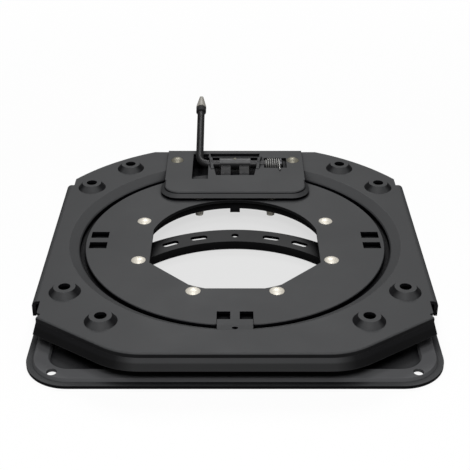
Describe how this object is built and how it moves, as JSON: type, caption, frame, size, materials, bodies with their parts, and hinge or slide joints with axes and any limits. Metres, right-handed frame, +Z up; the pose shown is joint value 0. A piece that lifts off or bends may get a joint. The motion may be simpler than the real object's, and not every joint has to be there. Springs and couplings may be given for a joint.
{
  "type": "swivel seat base",
  "caption": "Low turntable between a vehicle seat and its seat box: a pressed upper plate turns on a ball race over a lower plate and locks with a sprung pawl.",
  "frame": {"origin": "on the swivel axis, in the plane of the lower plate's underside", "axes": "+Z up along the swivel axis towards the seat, +Y towards the edge with the lock and its lever, +X to the right seen from the side opposite the lock"},
  "size_m": [0.347, 0.4422, 0.0724],
  "materials": {
    "plate_paint": "satin charcoal powder coat",
    "zinc_steel": "bright zinc plate",
    "rod_steel": "dark phosphated steel",
    "spring_steel": "blackened spring steel",
    "ball_steel": "polished ball steel",
    "black_rubber": "matte",
    "pale_plastic": "satin off-white",
    "nylon": "natural nylon"
  },
  "bodies": {
    "base": {"lower_plate": "plate_paint", "cross_bar": "plate_paint", "bar_rivets": "zinc_steel", "centre_disc": "plate_paint", "hub_rivets": "zinc_steel", "rivet_washers": "zinc_steel", "rivet_collars": "zinc_steel"},
    "bearing": {"ball_cage": "nylon", "bearing_balls": "ball_steel"},
    "turntable": {"upper_plate": "plate_paint", "lock_plate": "plate_paint", "lock_rivets": "zinc_steel", "lock_spring": "zinc_steel", "glide_ring": "nylon"},
    "lock_lever": {"lock_lever": "rod_steel", "lever_collar": "black_rubber", "lever_tip": "pale_plastic", "lock_pawl": "rod_steel", "pawl_pin": "zinc_steel", "shaft_clip": "spring_steel"}
  },
  "joints": [
    {"name": "swivel", "type": "hinge", "parent": "base", "child": "turntable", "pos_m": [0, 0, 0.0195], "axis": [0, 0, 1], "continuous": true},
    {"name": "cage_turn", "type": "hinge", "parent": "base", "child": "bearing", "pos_m": [0, 0, 0.0165], "axis": [0, 0, 1], "continuous": true},
    {"name": "lock_tilt", "type": "hinge", "parent": "turntable", "child": "lock_lever", "pos_m": [0, 0.15, 0.0345], "axis": [1, 0, 0], "range_deg": [0, 10.5], "deforming": ["lock_spring"]}
  ],
  "couplings": [
    {"joint": "cage_turn", "follows": "swivel", "ratio": 0.5}
  ]
}
